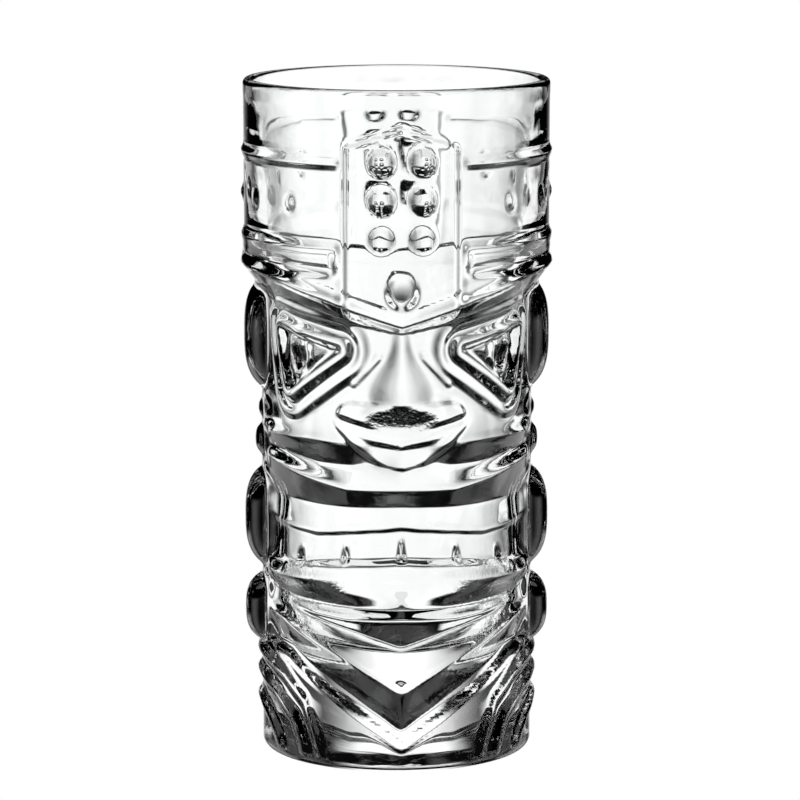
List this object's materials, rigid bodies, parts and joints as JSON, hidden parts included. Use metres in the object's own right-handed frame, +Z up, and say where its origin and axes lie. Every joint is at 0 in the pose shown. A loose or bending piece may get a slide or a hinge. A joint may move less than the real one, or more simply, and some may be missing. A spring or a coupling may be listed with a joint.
{
  "type": "tiki highball glass",
  "caption": "Tall clear press-moulded glass tumbler with a tiki face in relief, side lugs, a ringed headdress and a thick solid base, for a long iced drink.",
  "frame": {"origin": "middle of the flat foot, on the surface the glass stands on", "axes": "+Z up towards the rim, the face looks along -Y, +X towards the lug on the right of someone looking at the face"},
  "size_m": [0.076, 0.0764, 0.166],
  "materials": {
    "clear_glass": "fire-polished clear soda-lime glass, with a stippled mould texture under the nose and on the chin"
  },
  "bodies": {
    "root": {"glass_tumbler": "clear_glass"}
  },
  "joints": []
}
